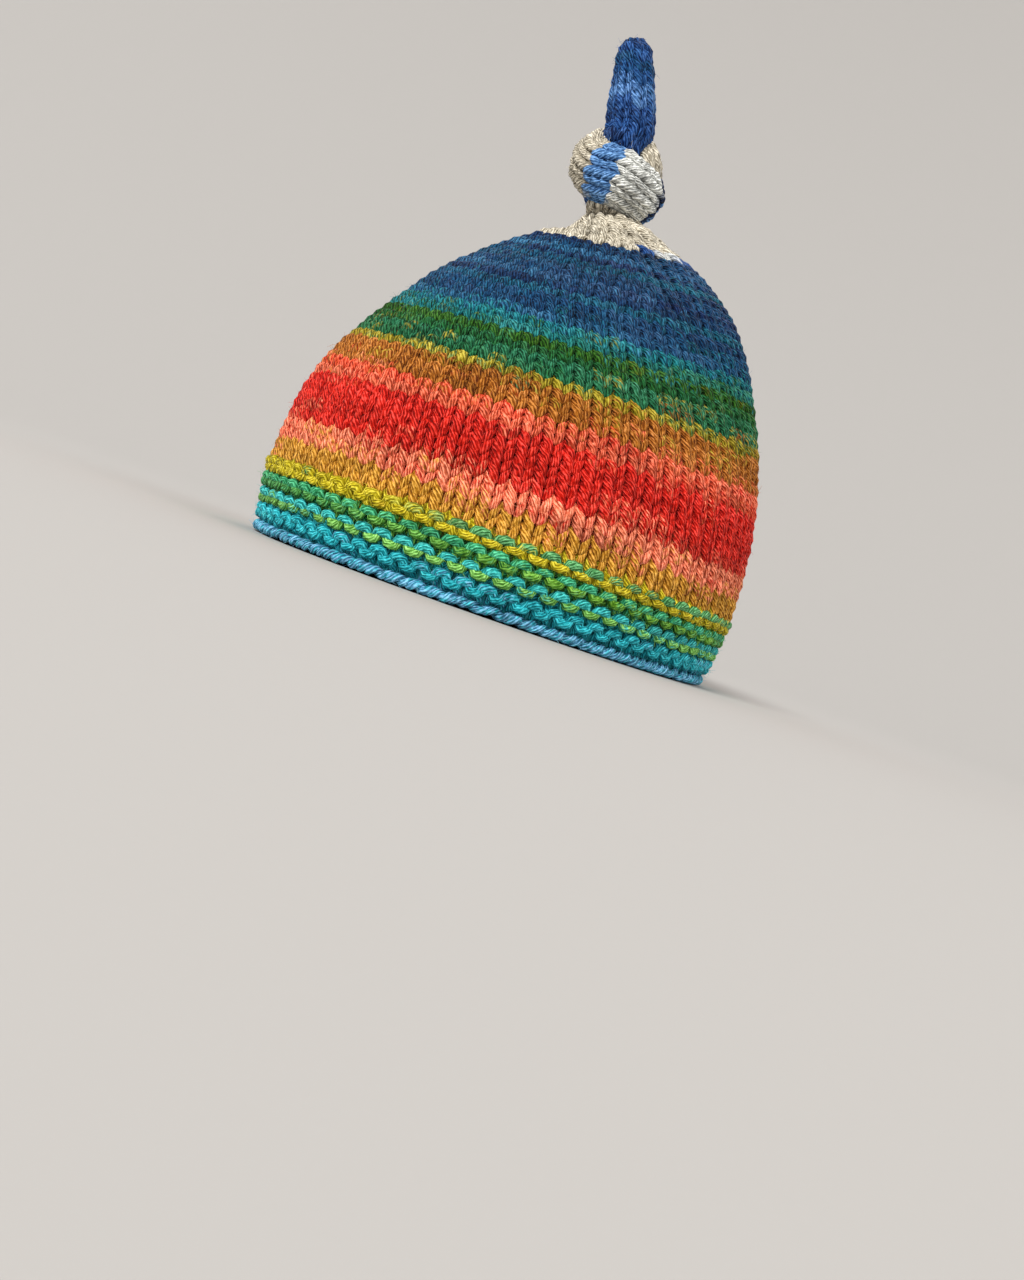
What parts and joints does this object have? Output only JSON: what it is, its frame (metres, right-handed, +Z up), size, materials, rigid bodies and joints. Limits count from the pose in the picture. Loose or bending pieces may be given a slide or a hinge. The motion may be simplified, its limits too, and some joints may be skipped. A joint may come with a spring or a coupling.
{
  "type": "top knot beanie",
  "caption": "Knitted beanie hat with a ridged garter-stitch brim and a domed crown that gathers into a knitted tube, tied in an overhand knot with a free tip.",
  "frame": {"origin": "on the floor, in the middle of the bounding box", "axes": "+Z up, -Y towards the front of the hat, above the forehead, +X towards the wearer's left side"},
  "size_m": [0.1718, 0.2012, 0.2201],
  "materials": {
    "brim_yarn": "hand-knitted wool in garter stitch, teal and green with a yellow upper edge and a light blue cast-on edge",
    "crown_yarn": "hand-knitted wool in stockinette, in soft stripes of gold, coral, red, copper, olive, green and blue",
    "stem_yarn": "cream hand-knitted wool, gathered",
    "knot_yarn": "hand-knitted wool in cream, sky blue and white stripes",
    "tip_yarn": "blue hand-knitted wool"
  },
  "bodies": {
    "root": {"brim": "brim_yarn", "crown": "crown_yarn", "stem": "stem_yarn", "knot": "knot_yarn", "tip": "tip_yarn"}
  },
  "joints": []
}
